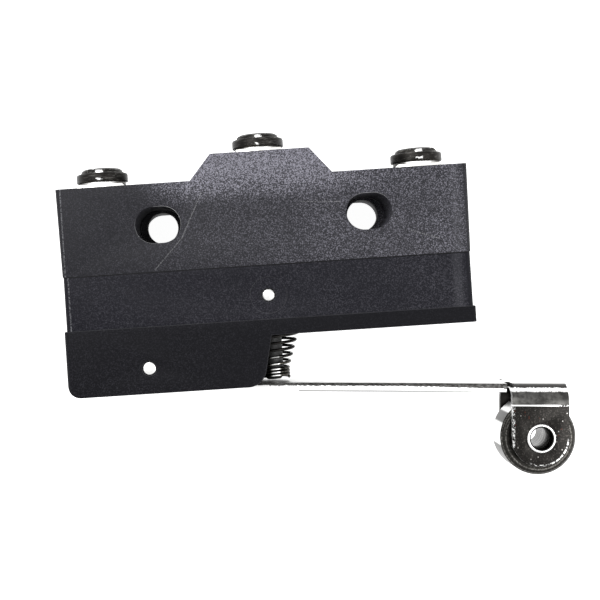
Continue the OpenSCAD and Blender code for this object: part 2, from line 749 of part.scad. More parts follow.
module moving_contact() {
    top = y_blade + contact_h;
    low = y_blade - blade_t - contact_h;
    color(silver) turned_y(contact_x, [
        [0, low], [contact_d / 2 - 0.2, low], [contact_d / 2, low + 0.2],
        [contact_d / 2, y_blade - blade_t], [shank_d / 2, y_blade - blade_t],
        [shank_d / 2, y_blade], [contact_d / 2, y_blade], [contact_d / 2, top - 0.2],
        [contact_d / 2 - 0.2, top], [0, top]]);
}

module contact_open() {
    color(silver) contact(y_open, false, strip_t);
}

module contact_closed() {
    color(silver) contact(y_closed, true, strip_t);
}

module anchor_rivet() {
    low = y_blade - blade_t;
    high = y_blade + strip_t;
    r = anchor_head_d / 2;
    color(steel) turned_y(-leg_x, [
        [0, low - anchor_head_h], [r, low - anchor_head_h], [r, low], [anchor_d / 2, low],
        [anchor_d / 2, high], [r, high], [r, high + anchor_head_h], [0, high + anchor_head_h]]);
}

// Plate with its tapped collar, seated at the given level about the point x
module terminal_head(x, level, z0) {
    difference() {
        union() {
            translate([x - plate_w / 2, level, z0]) cube([plate_w, strip_t, plate_l + 0.5]);
            translate([x, level + strip_t / 2, z_mid]) rotate([90, 0, 0])
                cylinder(d = collar_d, h = collar_h + strip_t / 2);
        }
        translate([x, level + strip_t + over, z_mid]) rotate([90, 0, 0])
            cylinder(d = screw_d + fix_gap, h = collar_h + strip_t + 2 * over);
    }
}

module terminal_common() {
    z = leg_back_z;
    x0 = -leg_x - leg_w / 2;
    post_x = tongue_tip_x - 0.15 - strip_t;
    color(brass) difference() {
        union() {
            terminal_head(-screw_x, y_top, z);
            face_plate(z, strip_t) polygon([
                [x0, y_top + strip_t], [x0 + leg_w, y_top + strip_t], [x0 + leg_w, y_runner],
                [post_x + strip_t, y_runner], [post_x + strip_t, y_runner - runner_h],
                [x0 + leg_w, y_runner - runner_h], [x0 + leg_w, y_blade], [x0, y_blade]]);
            // Pad that carries the fixed end of the blade
            translate([x0, y_blade, z]) cube([leg_w, strip_t, z_mid + blade_w / 2 - z]);
            // Support for the tip of the bowed tongue
            translate([post_x, y_runner - runner_h, z])
                cube([strip_t, runner_h, z_mid + tongue_w / 2 + 0.3 - z]);
        }
        translate([-leg_x, y_blade - over, z_mid]) rotate([-90, 0, 0])
            cylinder(d = anchor_d + fix_gap, h = strip_t + 2 * over);
    }
}

module terminal_closed() {
    z = leg_front_z;
    drop_x = contact_x - 2;
    end_x = contact_x + 2.2;
    low = y_closed - contact_h - strip_t;
    color(brass) difference() {
        union() {
            terminal_head(0, y_hump, z + strip_t - plate_l - 0.5);
            face_plate(z, strip_t) polygon([
                [-leg_w / 2, y_hump + strip_t], [leg_w / 2, y_hump + strip_t],
                [leg_w / 2, y_runner], [end_x, y_runner], [end_x, low], [drop_x, low],
                [drop_x, y_runner - runner_h], [-leg_w / 2, y_runner - runner_h]]);
            // Tab under the moving contact
            translate([drop_x, low, z_mid - 2]) cube([end_x - drop_x, strip_t, z + strip_t - z_mid + 2]);
        }
        translate([contact_x, low - over, z_mid]) rotate([-90, 0, 0])
            cylinder(d = shank_d + fix_gap, h = strip_t + 2 * over);
    }
}

module terminal_open() {
    z = leg_back_z;
    x0 = leg_x - leg_w / 2;
    low = y_open + contact_h;
    color(brass) difference() {
        union() {
            terminal_head(screw_x, y_top, z);
            face_plate(z, strip_t) polygon([
                [x0, y_top + strip_t], [x0 + leg_w, y_top + strip_t], [x0 + leg_w, low], [x0, low]]);
            // Foot above the moving contact
            translate([contact_x - 2.2, low, z])
                cube([x0 + leg_w - contact_x + 2.2, strip_t, z_mid + 2 - z]);
        }
        translate([contact_x, low - over, z_mid]) rotate([-90, 0, 0])
            cylinder(d = shank_d + fix_gap, h = strip_t + 2 * over);
    }
}

module flat_washer(x, level) {
    y = level + strip_t;
    color(nickel) turned_y(x, [
        [screw_d / 2 + 0.1, y], [washer_d / 2, y], [washer_d / 2, y + washer_t - 0.08],
        [washer_d / 2 - 0.08, y + washer_t], [screw_d / 2 + 0.1, y + washer_t]]);
}

// Cupped washer, wide at its rim and narrow under the screw's head
module cup_washer(x, level) {
    y = level + strip_t + washer_t;
    r = cup_washer_d / 2;
    color(dark_steel) turned_y(x, [
        [screw_d / 2 + 0.1, y + 0.2], [head_d / 2 - 0.2, y + 0.2], [r - 0.3, y], [r, y],
        [r, y + 0.12], [head_d / 2 + 0.05, y + cup_washer_h], [screw_d / 2 + 0.1, y + cup_washer_h]]);
}

// Slotted pan-head screw; slot_turn turns its slot about the screw's axis
module screw(x, level, slot_turn) {
    y = level + head_y;
    r = head_d / 2;
    color(dark_steel) difference() {
        turned_y(x, [
            [0, y - screw_l], [screw_d / 2 - 0.4, y - screw_l], [screw_d / 2 - 0.05, y - screw_l + 0.4],
            [screw_d / 2 - 0.05, y], [r, y], [r, y + head_h * 0.6], [r - 0.1, y + head_h * 0.8],
            [r - 0.35, y + head_h * 0.95], [r - 0.8, y + head_h], [0, y + head_h]]);
        translate([x, y + head_h - slot_d, z_mid]) rotate([0, slot_turn, 0])
            translate([-head_d, 0, -slot_w / 2]) cube([2 * head_d, slot_d + over, slot_w]);
    }
}

base();
cover();
hinge_cap();
cover_pin(1);  // cover_pin_front
cover_pin(0);  // cover_pin_rear
hinge_pin();
lever();
roller();
roller_rivet();
return_spring();
plunger();
push_pin();
overtravel_spring();
snap_blade();
moving_contact();
anchor_rivet();
terminal_common();
terminal_closed();
terminal_open();
contact_closed();
contact_open();
flat_washer(-screw_x, y_top);  // flat_washer_left
flat_washer(0, y_hump);  // flat_washer_middle
flat_washer(screw_x, y_top);  // flat_washer_right
cup_washer(-screw_x, y_top);  // cup_washer_left
cup_washer(0, y_hump);  // cup_washer_middle
cup_washer(screw_x, y_top);  // cup_washer_right
screw(-screw_x, y_top, 62);  // screw_left
screw(0, y_hump, 15);  // screw_middle
screw(screw_x, y_top, -38);  // screw_right
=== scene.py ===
"""Dresses the lever micro switch: edges, springs, turned parts, finishes and stage.

Every length in this file is in metres. The switch lies on its back face at z = 0,
its long side along X, its screw terminals towards +Y and its lever towards -Y.
"""
import math

import bmesh
import bpy
import numpy as np
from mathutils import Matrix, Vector


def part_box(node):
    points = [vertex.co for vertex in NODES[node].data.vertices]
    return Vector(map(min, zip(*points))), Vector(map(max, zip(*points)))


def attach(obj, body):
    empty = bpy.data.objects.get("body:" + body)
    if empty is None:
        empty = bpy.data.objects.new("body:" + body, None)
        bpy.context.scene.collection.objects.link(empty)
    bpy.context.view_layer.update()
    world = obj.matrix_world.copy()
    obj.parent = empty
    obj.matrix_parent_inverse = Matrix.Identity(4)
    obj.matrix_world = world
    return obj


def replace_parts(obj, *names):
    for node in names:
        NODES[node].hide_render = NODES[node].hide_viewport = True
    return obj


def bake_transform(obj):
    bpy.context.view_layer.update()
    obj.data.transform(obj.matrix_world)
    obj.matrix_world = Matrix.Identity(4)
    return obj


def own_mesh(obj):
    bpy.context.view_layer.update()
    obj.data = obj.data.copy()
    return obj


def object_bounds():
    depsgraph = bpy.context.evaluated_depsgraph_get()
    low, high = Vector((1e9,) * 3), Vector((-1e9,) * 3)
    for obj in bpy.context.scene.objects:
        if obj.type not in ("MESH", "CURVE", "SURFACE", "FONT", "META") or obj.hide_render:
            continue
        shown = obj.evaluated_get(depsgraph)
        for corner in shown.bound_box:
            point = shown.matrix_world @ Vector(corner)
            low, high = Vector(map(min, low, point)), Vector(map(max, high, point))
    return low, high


bl_info = {
    "name": "Lever Switch Dresser",
    "version": (1, 0, 0),
    "blender": (4, 5, 0),
    "location": "View3D > Sidebar > Switch",
    "description": "Finishes a lever micro switch around its fixed frame",
    "category": "Object",
}

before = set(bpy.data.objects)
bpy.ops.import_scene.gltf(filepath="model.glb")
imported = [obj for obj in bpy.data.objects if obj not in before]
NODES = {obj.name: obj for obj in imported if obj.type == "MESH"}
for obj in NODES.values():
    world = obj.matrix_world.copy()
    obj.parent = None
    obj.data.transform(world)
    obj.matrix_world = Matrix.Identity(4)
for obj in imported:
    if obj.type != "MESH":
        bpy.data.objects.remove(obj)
CASE_LOW, CASE_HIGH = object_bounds()
MM = 0.001


# ---------------------------------------------------------------- shader maths

class Value:
    """A socket that takes part in plain arithmetic; each operation adds one Math node."""

    def __init__(self, finish, socket):
        self.finish = finish
        self.socket = socket

    def maths(self, operation, *terms):
        sockets = dict(enumerate(terms))
        return self.finish.node("ShaderNodeMath", {"operation": operation}, sockets)

    def __add__(self, other):
        return self.maths("ADD", self, other)

    def __radd__(self, other):
        return self.maths("ADD", other, self)

    def __sub__(self, other):
        return self.maths("SUBTRACT", self, other)

    def __rsub__(self, other):
        return self.maths("SUBTRACT", other, self)

    def __mul__(self, other):
        return self.maths("MULTIPLY", self, other)

    def __rmul__(self, other):
        return self.maths("MULTIPLY", other, self)

    def __truediv__(self, other):
        return self.maths("DIVIDE", self, other)

    def __rtruediv__(self, other):
        return self.maths("DIVIDE", other, self)

    def __neg__(self):
        return self.maths("MULTIPLY", self, -1.0)

    def __abs__(self):
        return self.maths("ABSOLUTE", self)

    def least(self, other):
        return self.maths("MINIMUM", self, other)

    def most(self, other):
        return self.maths("MAXIMUM", self, other)

    def root(self):
        return self.maths("SQRT", self)

    def band(self, low, high):
        """Smooth step: 0 below low and 1 above high, or the reverse if low > high."""
        return self.finish.node("ShaderNodeMapRange", {"interpolation_type": "SMOOTHSTEP"},
                                {"Value": self, "From Min": low, "From Max": high})


class Finish:
    """One material under construction, with a method that adds any node."""

    def __init__(self, name):
        self.material = bpy.data.materials.new(name)
        self.material.use_nodes = True
        self.tree = self.material.node_tree
        self.tree.nodes.clear()
        self.start = self.node("ShaderNodeTexCoord", out="Object")
        axes = self.node("ShaderNodeSeparateXYZ", {}, {0: self.start}).socket.node.outputs
        self.x, self.y, self.z = (Value(self, axis) for axis in axes)

    def node(self, kind, settings=None, sockets=None, out=0):
        """Adds a node: its settings first, then its sockets; returns the output named."""
        node = self.tree.nodes.new(kind)
        for key, value in (settings or {}).items():
            if key == "stops":
                ramp = node.color_ramp
                while len(ramp.elements) < len(value):
                    ramp.elements.new(1.0)
                for element, (position, colour) in zip(ramp.elements, value):
                    element.position = position
                    element.color = (*colour, 1.0)
            else:
                setattr(node, key, value)
        for key, value in (sockets or {}).items():
            if isinstance(value, Value):
                self.tree.links.new(value.socket, node.inputs[key])
            else:
                if node.inputs[key].type == "RGBA" and len(value) == 3:
                    value = (*value, 1.0)
                node.inputs[key].default_value = value
        return Value(self, node.outputs[out])

    def stretched(self, scale, turn=(0.0, 0.0, 0.0), shift=(0.0, 0.0, 0.0)):
        """Object coordinates turned, then scaled along each axis."""
        turned = self.node("ShaderNodeMapping", {}, {"Vector": self.start, "Rotation": turn,
                                                     "Location": shift})
        return self.node("ShaderNodeVectorMath", {"operation": "MULTIPLY"},
                         {0: turned, 1: scale})

    def noise(self, scale, detail=3.0, rough=0.55, where=None):
        """Fractal noise about 0.5; scale is in features per metre."""
        return self.node("ShaderNodeTexNoise", {},
                         {"Vector": where or self.start, "Scale": scale, "Detail": detail,
                          "Roughness": rough})

    def specks(self, scale, radius, share, where=None):
        """Round specks: cells with a random value under share hold one of that radius."""
        voronoi = self.node("ShaderNodeTexVoronoi", {},
                            {"Vector": where or self.start, "Scale": scale})
        chance = self.node("ShaderNodeSeparateColor", {},
                           {0: Value(self, voronoi.socket.node.outputs["Color"])})
        return voronoi.band(radius, radius * 0.4) * chance.band(share, share * 0.8)

    def stroke(self, start, end, width):
        """Mask of a straight stroke in the X-Y plane, as wide on each side as width."""
        (ax, ay), (bx, by) = start, end
        dx, dy = bx - ax, by - ay
        length2 = dx * dx + dy * dy
        along = ((self.x - ax) * (dx / length2) + (self.y - ay) * (dy / length2))
        along = along.most(0.0).least(1.0)
        off_x = self.x - ax - along * dx
        off_y = self.y - ay - along * dy
        return (off_x * off_x + off_y * off_y).root().band(width, width * 0.3)

    def facing(self, axis):
        """How far a face's own normal points along one of the object's axes."""
        normal = self.node("ShaderNodeNewGeometry", out="True Normal")
        parts = self.node("ShaderNodeSeparateXYZ", {}, {0: normal}).socket.node.outputs
        return Value(self, parts[axis])

    def blend(self, mask, first, second):
        """Colour that goes from first to second as the mask goes from 0 to 1."""
        return self.node("ShaderNodeMix", {"data_type": "RGBA"},
                         {0: mask, 6: first, 7: second}, out=2)

    def bump(self, height, distance, strength=1.0):
        return self.node("ShaderNodeBump", {}, {"Height": height, "Distance": distance,
                                                "Strength": strength})

    def close(self, **sockets):
        """Ends the material in a Principled shader; _ in a name stands for a space."""
        values = {key.replace("_", " "): value for key, value in sockets.items()}
        shader = self.node("ShaderNodeBsdfPrincipled", {}, values)
        self.node_output(shader)
        return self.material

    def node_output(self, shader):
        output = self.tree.nodes.new("ShaderNodeOutputMaterial")
        self.tree.links.new(shader.socket, output.inputs["Surface"])


# -------------------------------------------------------------------- finishes

def phenolic(name, body, dust, levels, specular=0.2, strokes=(), rims=(), ends=None,
             seams=()):
    """Moulded black phenolic. levels are the shares of dust at the left end and at the right
    end, and above the terminal face the share of dust and of painted light that makes a
    paler patch on the front; rims are holes with painted highlight arcs, as centre,
    direction of the bright arc and its strength; ends are the two ends of a piece whose
    rounded corners get painted shade, with a painted highlight line near the low end and
    a painted sheen near the high end; seams are the levels of its joints, where dirt
    gathers."""
    f = Finish(name)
    left, right, crown_light = levels
    mottle = f.noise(260.0, 4.0, 0.6)
    grain = f.noise(7200.0, 2.0, 0.75)
    cloud = f.noise(90.0, 2.0, 0.5)
    dust_and_light = left + (right - left) * f.x.band(-20 * MM, 18 * MM)
    front = f.facing(2).band(0.7, 0.95)
    # painted light: the front of the hump above the terminal face gets a paler patch
    painted_crown_light = f.y.band(1.5 * MM, 7.5 * MM) * abs(f.x).band(16 * MM, 7 * MM)
    dust_and_light = dust_and_light + (crown_light - right) * painted_crown_light * front
    dust_and_light = dust_and_light * (0.5 + cloud)
    powder = grain.band(0.47, 0.68) * (0.4 + 1.2 * mottle)
    # the dust colour also serves as the colour of the painted light on the hump
    colour = f.blend((dust_and_light * (0.1 + 2.2 * powder)).least(1.0), body, dust)
    specks = f.specks(1900.0, 0.24, 0.06) * mottle.band(0.42, 0.6)
    specks = specks * (1.5 * dust_and_light).least(1.0)
    colour = f.blend(specks * 0.7, colour, (0.4, 0.4, 0.42))
    if ends:
        low, high = ends
        # painted shade on the rounded corners at both ends, a painted sheen near the high
        # end and a painted highlight line near the low end
        corner = (f.x.band(low + 0.5 * MM, low + 0.3 * MM)
                  .most(f.x.band(high - 0.75 * MM, high - 0.55 * MM)))
        sheen = abs(f.x - (high - 1.7 * MM)).band(0.9 * MM, 0.2 * MM) * 0.12
        line = abs(f.x - (low + 0.62 * MM)).band(0.12 * MM, 0.03 * MM)
        line = line * grain.band(0.4, 0.6)
        colour = f.blend(sheen * mottle, colour, (0.3, 0.3, 0.33))
        colour = f.blend(corner * 0.8, colour, body)
        colour = f.blend(line * 0.5, colour, (0.3, 0.3, 0.32))
    worn = f.node("ShaderNodeAttribute", {"attribute_name": "edge"}, out="Fac")
    colour = f.blend(worn * (0.1 + 0.3 * mottle), colour, (0.12, 0.12, 0.13))
    # painted highlight: a bright arc on one side of each hole's rounded rim
    for centre, direction, strength in rims:
        away_x, away_y = f.x - centre[0], f.y - centre[1]
        reach = (away_x * away_x + away_y * away_y).root()
        towards = (away_x * direction[0] + away_y * direction[1]) / reach
        arc = towards.band(0.35, 0.95) * reach.band(3.6 * MM, 3.3 * MM) * worn
        colour = f.blend(arc * strength, colour, (0.75, 0.75, 0.76))
    for level in seams:
        dirt = abs(f.y - level).band(0.2 * MM, 0.08 * MM) * (0.6 + 0.6 * mottle)
        colour = f.blend(dirt.least(1.0), colour, (0.0015, 0.0015, 0.002))
    marks = None
    for start, end, width in strokes:
        mark = f.stroke(start, end, width) * grain.band(0.35, 0.6)
        marks = mark if marks is None else marks.most(mark)
    if marks is not None:
        colour = f.blend(marks * front * 0.42, colour, (0.3, 0.3, 0.31))
    rough = 0.5 + 0.16 * mottle + 0.12 * powder
    skin = f.bump(grain * 0.6 + mottle, 0.012 * MM)
    return f.close(Base_Color=colour, Roughness=rough, Normal=skin,
                   Specular_IOR_Level=specular)


def metal(name, bright, dull, tarnish=0.5, rough=0.3, streak=None, grime=0.3,
          outer=None):
    """Worn metal: cloudy tarnish, fine streaks along one direction and bright rubbed
    edges. outer is the colour of faces that point along +Y."""
    f = Finish(name)
    cloud = f.noise(420.0, 5.0, 0.65)
    fine = f.noise(3600.0, 3.0, 0.6)
    where = f.stretched(streak) if streak else f.start
    lines = f.noise(1.0 if streak else 2600.0, 3.0, 0.6, where)
    cover = cloud.band(0.62 - 0.35 * tarnish, 0.8 - 0.3 * tarnish)
    edge = f.node("ShaderNodeAttribute", {"attribute_name": "edge"}, out="Fac")
    cover = cover * (1.0 - 0.8 * edge)
    colour = f.blend(cover, bright, dull)
    if outer:
        colour = f.blend(f.facing(1).band(0.8, 0.95) * (0.6 + 0.5 * fine), colour, outer)
    dirt = fine.band(0.56, 0.72) * grime
    colour = f.blend(dirt, colour, tuple(0.25 * part for part in dull))
    roughness = (rough + 0.25 * cover + 0.2 * (lines - 0.5)).most(0.06).least(0.9)
    skin = f.bump(lines * 0.7 + fine * 0.5, 0.006 * MM)
    return f.close(Base_Color=colour, Metallic=1.0, Roughness=roughness, Normal=skin)


def polar(f, centre):
    """Distance from an axis along Z and the angle round it, from -pi to pi."""
    off_x, off_y = f.x - centre[0], f.y - centre[1]
    return (off_x * off_x + off_y * off_y).root(), f.node(
        "ShaderNodeMath", {"operation": "ARCTAN2"}, {0: off_y, 1: off_x})


def lever_finish(name, bright, dark, pivot, axle, shape):
    """Chromed strip, followed along the arm and down from its upper face. The arm is
    bright with a dark upper border of painted shade on its edges, and its underside is
    painted darker as shade. On the roller ears the bend carries a painted shade line, a
    painted highlight band and a grey band of painted shade that ends in a painted
    highlight along the crease; the flat of the ear is dark tarnish with fine specks that
    also stands for dark reflection, with a painted highlight line round its foot and
    along its root. The far ear is painted dark as shade and faces along +Y get a painted
    highlight. pivot and axle are the two hinge lines."""
    f = Finish(name)
    cos, sin = math.cos(shape.slope), math.sin(shape.slope)
    ear = shape.ear
    off_x, off_y = f.x - pivot[0], f.y - pivot[1]
    along = off_x * cos - off_y * sin
    depth = -(off_x * sin + off_y * cos) - shape.drop
    ragged = f.noise(2800.0, 3.0, 0.75) - 0.5
    fine = f.noise(5200.0, 2.0, 0.7)
    cloud = f.noise(900.0, 4.0, 0.7)
    uneven = depth + ragged * (0.5 * MM)
    side = abs(f.facing(2)).band(0.5, 0.8)
    edge = f.node("ShaderNodeAttribute", {"attribute_name": "edge"}, out="Fac")

    # painted shade: a dark border along the top of the arm's edge faces, deeper towards the
    # ears
    thick = shape.border + along.band(30 * MM, ear) * (0.3 * MM)
    border = ((thick - uneven) / (0.06 * MM)).most(0.0).least(1.0) * side
    foot = depth.band(shape.foot - 0.07 * MM, shape.foot) * side * 0.85
    arm = f.blend(cloud.band(0.6, 0.85) * 0.25, bright, (0.55, 0.54, 0.53))
    arm = f.blend(foot, arm, (0.2, 0.2, 0.2))
    # painted shade: faces that point along -Y are darker, with streaks
    under = f.facing(1).band(-0.7, -0.9)
    lines = f.noise(1.0, 3.0, 0.6, f.stretched((260.0, 4200.0, 4200.0)))
    arm = f.blend(under * (0.55 + 0.45 * lines), arm, (0.36, 0.355, 0.34))
    arm = f.blend(border * (0.97 + 0.3 * ragged).least(1.0), arm, dark)

    # painted shade: the grey of the bend on the ears
    grey = f.blend(cloud.band(0.35, 0.7), (0.045, 0.044, 0.042), (0.12, 0.118, 0.112))
    # dark tarnish with specks on the flat of the ear, which also stands for dark reflection
    flat = f.blend(fine.band(0.52, 0.72) * 0.4, dark, (0.13, 0.12, 0.11))
    flat = f.blend(f.specks(2300.0, 0.3, 0.12) * 0.8, flat, (0.07, 0.025, 0.018))
    flat = f.blend(f.specks(3300.0, 0.33, 0.1), flat, (0.4, 0.39, 0.37))
    # painted highlight: a line round the lower right of the ear's rounded foot and one where
    # the ear starts
    reach, angle = polar(f, axle)
    rim = abs(reach - shape.rim).band(0.13 * MM, 0.05 * MM) * ragged.band(-0.03, 0.03)
    rim = rim * abs(angle + math.radians(62)).band(math.radians(60), math.radians(40))
    root = (along - ear).band(0.36 * MM, 0.16 * MM) * ragged.band(0.01, 0.06)
    flat = f.blend(rim.most(root) * 0.9, flat, bright)
    # painted highlight along the crease where the bend ends
    crease = (depth.band(shape.bend - 0.08 * MM, shape.bend)
              * depth.band(shape.bend + 0.16 * MM, shape.bend + 0.1 * MM))
    whole = along.band(ear + 6.5 * MM, ear + 4 * MM) * 0.5
    crease = crease * (fine + whole).band(0.5, 0.62)
    ears = f.blend(depth.band(shape.bend - 0.1 * MM, shape.bend), grey, flat)
    # painted highlight band and painted shade line on the bend
    ears = f.blend(uneven.band(shape.band + 0.04 * MM, shape.band - 0.04 * MM), ears,
                   bright)
    ears = f.blend(uneven.band(shape.shade + 0.05 * MM, shape.shade - 0.05 * MM), ears,
                   dark)
    ears = f.blend(crease, ears, bright)
    # painted shade: the far ear is dark
    near = f.z.band(pivot[2], pivot[2] + 1 * MM)
    ears = f.blend(1.0 - near, ears, dark)
    # painted highlight on faces that point along +Y
    top = f.facing(1).band(0.93, 0.985)
    ears = f.blend(top, ears, bright)
    ears = f.blend(edge * fine.band(0.38, 0.55) * 0.9, ears, bright)

    colour = f.blend(along.band(ear - 0.25 * MM, ear), arm, ears)
    roughness = 0.22 + 0.25 * cloud
    return f.close(Base_Color=colour, Metallic=1.0, Roughness=roughness,
                   Normal=f.bump(fine + cloud, 0.005 * MM))


def roller_finish(name, bright, dark, centre, radius, half):
    """Turned roller: dark end faces with paler turning rings, and a rim with painted
    reflections, bright bands at set angles round it."""
    f = Finish(name)
    reach, angle = polar(f, centre)
    fine = f.noise(4600.0, 3.0, 0.7)
    cloud = f.noise(700.0, 4.0, 0.65)
    ends = f.blend(fine.band(0.5, 0.8) * 0.5, dark, (0.16, 0.155, 0.145))
    for ring, width in ((0.735, 0.03), (0.86, 0.025), (0.965, 0.02)):
        line = abs(reach - radius * ring).band(radius * width, radius * width * 0.2)
        ends = f.blend(line * fine.band(0.35, 0.65) * 0.55, ends, (0.3, 0.29, 0.27))
    # painted reflections: bright bands at set angles round the rim
    reflection_bands = None
    for middle, width in ((172.0, 17.0), (128.0, 9.0), (60.0, 12.0), (-20.0, 20.0),
                          (-100.0, 14.0), (-188.0, 17.0)):
        reflection_band = abs(angle - math.radians(middle)).band(math.radians(width + 2.0),
                                                       math.radians(width - 2.0))
        reflection_bands = reflection_band if reflection_bands is None else reflection_bands.most(reflection_band)
    rim = f.blend(cloud.band(0.3, 0.7), (0.03, 0.029, 0.027), (0.09, 0.087, 0.083))
    rim = f.blend(reflection_bands, rim, bright)
    rim = f.blend(f.z.band(centre[2] - half + 0.5 * MM, centre[2] - half + 0.35 * MM),
                  rim, dark)
    side = abs(f.facing(2)).band(0.35, 0.2) * reach.band(0.95 * radius, 0.97 * radius)
    return f.close(Base_Color=f.blend(side, ends, rim), Metallic=1.0,
                   Roughness=0.25 + 0.2 * cloud, Normal=f.bump(fine, 0.005 * MM))


def rivet_finish(name, bright, dark, centre, bore):
    """Bright rolled head; the bore is painted dark as shade, with paler rings down its
    length.
    """
    f = Finish(name)
    reach = polar(f, centre)[0]
    fine = f.noise(3900.0, 3.0, 0.7)
    waves = f.node("ShaderNodeMath", {"operation": "SINE"}, {0: f.z * (2 * math.pi / MM)})
    # painted shade in the bore, with paler rings
    tube = f.blend(waves.band(0.6, 0.95) * 0.35, dark, (0.45, 0.44, 0.42))
    head = f.blend(fine.band(0.6, 0.8) * 0.6, bright, (0.3, 0.29, 0.28))
    inside = reach.band(bore + 0.22 * MM, bore + 0.14 * MM)
    return f.close(Base_Color=f.blend(inside, head, tube), Metallic=1.0, Roughness=0.25,
                   Normal=f.bump(fine, 0.005 * MM))


def screw_finish(name, bright, dark, middle, lit, low, high):
    """Worn steel round the axis of one terminal screw, with a painted glint in the middle
    of the side that faces out, lit wide and between the levels low and high, and streaks
    beside the glint."""
    f = Finish(name)
    across = abs(f.x - middle)
    fine = f.noise(3300.0, 4.0, 0.7)
    streaks = f.noise(1.0, 4.0, 0.7, f.stretched((600.0, 5200.0, 1500.0)))
    colour = f.blend(streaks.band(0.52, 0.75), dark, (0.15, 0.145, 0.135))
    colour = f.blend(fine.band(0.62, 0.75) * 0.5, colour, (0.3, 0.29, 0.27))
    ragged = (fine - 0.5) * (1.6 * MM)
    # painted highlight: the glint
    glint = (across + ragged).band(lit, 0.5 * lit)
    glint = glint * (f.y + 0.3 * ragged).band(low, low + 0.15 * MM)
    glint = glint * (f.y + 0.3 * ragged).band(high, high - 0.15 * MM)
    colour = f.blend(glint, colour, bright)
    edge = f.node("ShaderNodeAttribute", {"attribute_name": "edge"}, out="Fac")
    colour = f.blend(edge * fine.band(0.45, 0.6) * 0.5, colour, (0.6, 0.59, 0.56))
    return f.close(Base_Color=colour, Metallic=1.0, Roughness=0.25 + 0.3 * streaks,
                   Normal=f.bump(fine + streaks, 0.01 * MM))


def coil_finish(name, bright, dark, middle, top, foot, lit):
    """Dark spring wire, paler in the coils near the foot. Those carry a painted highlight in
    the middle of the coil, lit wide, along the side of the wire that is turned a little
    upwards."""
    f = Finish(name)
    fine = f.noise(3600.0, 3.0, 0.7)
    normal = f.node("ShaderNodeNewGeometry", out="Normal")
    up = Value(f, f.node("ShaderNodeSeparateXYZ", {}, {0: normal}).socket.node.outputs[1])
    # painted highlight along the side of the wire turned a little upwards
    shine = abs(up - 0.12).band(0.6, 0.25)
    centred = abs(f.x - middle).band(lit, 0.4 * lit)
    low = f.y.band(0.55 * top + 0.45 * foot, 0.3 * top + 0.7 * foot)
    pale = fine.band(0.4, 0.65) * low * 0.8
    colour = f.blend(pale, dark, (0.17, 0.16, 0.135))
    colour = f.blend((shine * centred * low * (0.8 + fine)).least(1.0), colour, bright)
    return f.close(Base_Color=colour, Metallic=1.0, Roughness=0.28,
                   Normal=f.bump(fine, 0.004 * MM))


def nylon(name, body):
    """Moulded nylon: faint mottle and a soft grain."""
    f = Finish(name)
    mottle = f.noise(700.0, 4.0)
    grain = f.noise(6000.0, 2.0)
    paler = tuple(1.7 * part for part in body)
    colour = f.blend(mottle.band(0.3, 0.7) * 0.6, body, paler)
    return f.close(Base_Color=colour, Roughness=0.5 + 0.2 * (mottle - 0.5),
                   Normal=f.bump(grain, 0.008 * MM))


def floor_finish(name, colour, lift):
    """Matt floor. Rays that show it to the eye, straight or in metal, see it lifted to
    white, while the shadow stays in its matt part."""
    f = Finish(name)
    path = f.node("ShaderNodeLightPath").socket.node.outputs
    seen = Value(f, path["Is Camera Ray"]).most(Value(f, path["Is Glossy Ray"]))
    seen = seen.most(Value(f, path["Is Transmission Ray"]))
    soft = f.noise(14.0, 2.0)
    tone = f.blend(soft, tuple(0.985 * part for part in colour), colour)
    matt = f.node("ShaderNodeBsdfDiffuse", {}, {"Color": tone})
    glow = f.node("ShaderNodeEmission", {},
                  {"Color": (1.0, 1.0, 1.0), "Strength": seen * lift})
    both = f.node("ShaderNodeAddShader", {}, {0: matt, 1: glow})
    f.node_output(both)
    return f.material


# ---------------------------------------------------------------------- meshes

def new_piece(name, vertices, faces, material, body, smooth=True):
    """Mesh object at the origin from an (n, 3) array and an array of faces."""
    mesh = bpy.data.meshes.new(name)
    mesh.from_pydata(vertices.tolist(), [], [list(face) for face in faces])
    mesh.validate()
    piece = bpy.data.objects.new(name, mesh)
    bpy.context.scene.collection.objects.link(piece)
    return finish_piece(piece, material, body, smooth)


def finish_piece(piece, material, body, smooth=True):
    """Outward normals, shading by angle, material, slot and, unless the piece bends
    between two bodies, the body that it rides on."""
    build = bmesh.new()
    build.from_mesh(piece.data)
    bmesh.ops.recalc_face_normals(build, faces=build.faces)
    build.to_mesh(piece.data)
    build.free()
    piece.data.materials.clear()
    piece.data.materials.append(material)
    if smooth:
        piece.data.shade_smooth()
        piece.data.set_sharp_from_angle(angle=math.radians(40))
    if body:
        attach(piece, body)
    return piece


def grid_faces(rows, columns):
    """Quads of a grid whose columns close into a ring, as rows of vertex numbers."""
    row, column = np.meshgrid(np.arange(rows - 1), np.arange(columns), indexing="ij")
    here = row * columns + column
    beside = row * columns + (column + 1) % columns
    return np.stack([here, beside, beside + columns, here + columns], -1).reshape(-1, 4)


def rounded_profile(points, radius, steps=4):
    """Softens each corner of an open (radius, level) profile with a quadratic curve:
    a mix of the two shortened sides and the corner, weighted (1-t)^2, 2t(1-t), t^2."""
    points = np.asarray(points, float)
    before, corner, after = points[:-2], points[1:-1], points[2:]
    into, out = before - corner, after - corner
    reach_in = np.linalg.norm(into, axis=1, keepdims=True)
    reach_out = np.linalg.norm(out, axis=1, keepdims=True)
    cut = np.minimum(radius, 0.45 * np.minimum(reach_in, reach_out))
    start, end = corner + into / reach_in * cut, corner + out / reach_out * cut
    t = np.linspace(0.0, 1.0, steps + 1)[None, :, None]
    arcs = ((1 - t) ** 2 * start[:, None] + 2 * t * (1 - t) * corner[:, None]
            + t ** 2 * end[:, None])
    return np.vstack([points[:1], arcs.reshape(-1, 2), points[-1:]])


